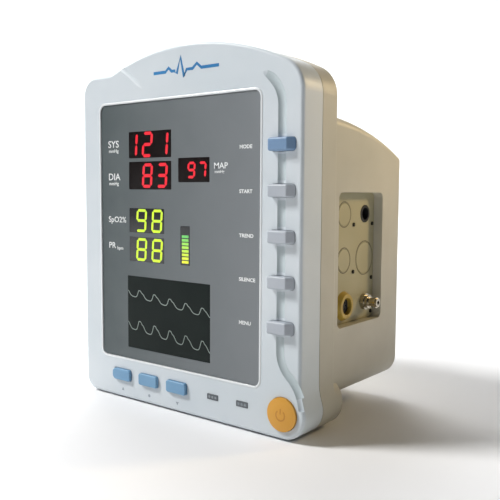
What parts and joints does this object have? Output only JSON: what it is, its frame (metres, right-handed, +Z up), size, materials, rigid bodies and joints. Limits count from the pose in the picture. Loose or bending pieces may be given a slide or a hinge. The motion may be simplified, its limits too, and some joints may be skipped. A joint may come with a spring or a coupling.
{
  "type": "patient monitor",
  "caption": "Compact bedside vital-signs monitor with arched front bezel, LED number readouts, small LCD, press keys, round power button and a side connector recess.",
  "frame": {"origin": "middle of the footprint on the surface it stands on", "axes": "+Z up, the screen faces -Y, +X to the side with the connector recess"},
  "size_m": [0.2128, 0.1494, 0.264],
  "materials": {
    "case_light": "fine satin",
    "seal": "matt",
    "panel_grey": "satin",
    "readout": "gloss",
    "circuit_board": "satin",
    "dark_plastic": "satin",
    "screen_glass": "gloss",
    "key_blue": "satin",
    "key_grey": "satin",
    "button_orange": "satin",
    "lamp_lens": "gloss",
    "panel_tan": "satin",
    "socket_yellow": "satin",
    "plated_metal": "polished",
    "dark_screw": "blackened",
    "brass_part": "plain",
    "sheet_metal": "satin",
    "core_iron": "lacquered",
    "battery_wrap": "shrink wrap",
    "hose_rubber": "matt",
    "foot_rubber": "matt"
  },
  "bodies": {
    "case": {"front_bezel": "case_light", "rear_shell": "case_light", "case_gasket": "seal", "display_panel": "panel_grey", "sys_display": "readout", "dia_display": "readout", "map_display": "readout", "spo2_display": "readout", "pulse_display": "readout", "pulse_bargraph": "readout", "display_board": "circuit_board", "lcd_frame": "dark_plastic", "lcd_glass": "screen_glass", "power_switch": "dark_plastic", "mains_indicator": "lamp_lens", "battery_indicator": "lamp_lens", "side_key_board": "circuit_board", "side_key_switches": "dark_plastic", "soft_key_board": "circuit_board", "soft_key_switches": "dark_plastic", "side_panel": "panel_tan", "blank_plug_upper": "panel_tan", "blank_plug_middle": "panel_tan", "blank_plug_large": "panel_tan", "temp_socket": "dark_plastic", "spo2_socket": "socket_yellow", "spo2_insert": "dark_plastic", "nibp_connector": "plated_metal", "nibp_nut": "plated_metal", "panel_screws": "dark_screw", "ac_inlet": "dark_plastic", "inlet_pins": "brass_part", "inlet_screws": "plated_metal", "equipotential_stud": "brass_part", "network_jack": "dark_plastic", "chassis": "sheet_metal", "standoffs": "brass_part", "main_board": "circuit_board", "power_supply": "circuit_board", "transformer": "core_iron", "battery_pack": "battery_wrap", "battery_door": "case_light", "battery_door_screws": "plated_metal", "nibp_pump": "sheet_metal", "nibp_valve": "sheet_metal", "air_hose": "hose_rubber", "speaker": "dark_plastic", "case_screws": "plated_metal", "front_feet": "foot_rubber", "rear_feet": "foot_rubber"},
    "mode_key_body": {"mode_key": "key_blue"},
    "start_key_body": {"start_key": "key_grey"},
    "trend_key_body": {"trend_key": "key_grey"},
    "silence_key_body": {"silence_key": "key_grey"},
    "menu_key_body": {"menu_key": "key_grey"},
    "up_key_body": {"up_key": "key_blue"},
    "select_key_body": {"select_key": "key_blue"},
    "down_key_body": {"down_key": "key_blue"},
    "power_button_body": {"power_button": "button_orange"}
  },
  "joints": [
    {"name": "mode_press", "type": "slide", "parent": "case", "child": "mode_key_body", "axis": [0, 1, 0], "range_m": [0, 0.0013], "stiffness_N_per_m": 700, "springref_m": -0.0005},
    {"name": "start_press", "type": "slide", "parent": "case", "child": "start_key_body", "axis": [0, 1, 0], "range_m": [0, 0.0013], "stiffness_N_per_m": 700, "springref_m": -0.0005},
    {"name": "trend_press", "type": "slide", "parent": "case", "child": "trend_key_body", "axis": [0, 1, 0], "range_m": [0, 0.0013], "stiffness_N_per_m": 700, "springref_m": -0.0005},
    {"name": "silence_press", "type": "slide", "parent": "case", "child": "silence_key_body", "axis": [0, 1, 0], "range_m": [0, 0.0013], "stiffness_N_per_m": 700, "springref_m": -0.0005},
    {"name": "menu_press", "type": "slide", "parent": "case", "child": "menu_key_body", "axis": [0, 1, 0], "range_m": [0, 0.0013], "stiffness_N_per_m": 700, "springref_m": -0.0005},
    {"name": "up_press", "type": "slide", "parent": "case", "child": "up_key_body", "axis": [0, 1, 0], "range_m": [0, 0.0013], "stiffness_N_per_m": 700, "springref_m": -0.0005},
    {"name": "select_press", "type": "slide", "parent": "case", "child": "select_key_body", "axis": [0, 1, 0], "range_m": [0, 0.0013], "stiffness_N_per_m": 700, "springref_m": -0.0005},
    {"name": "down_press", "type": "slide", "parent": "case", "child": "down_key_body", "axis": [0, 1, 0], "range_m": [0, 0.0013], "stiffness_N_per_m": 700, "springref_m": -0.0005},
    {"name": "power_press", "type": "slide", "parent": "case", "child": "power_button_body", "axis": [0, 1, 0], "range_m": [0, 0.0015], "stiffness_N_per_m": 900, "springref_m": -0.0006}
  ]
}
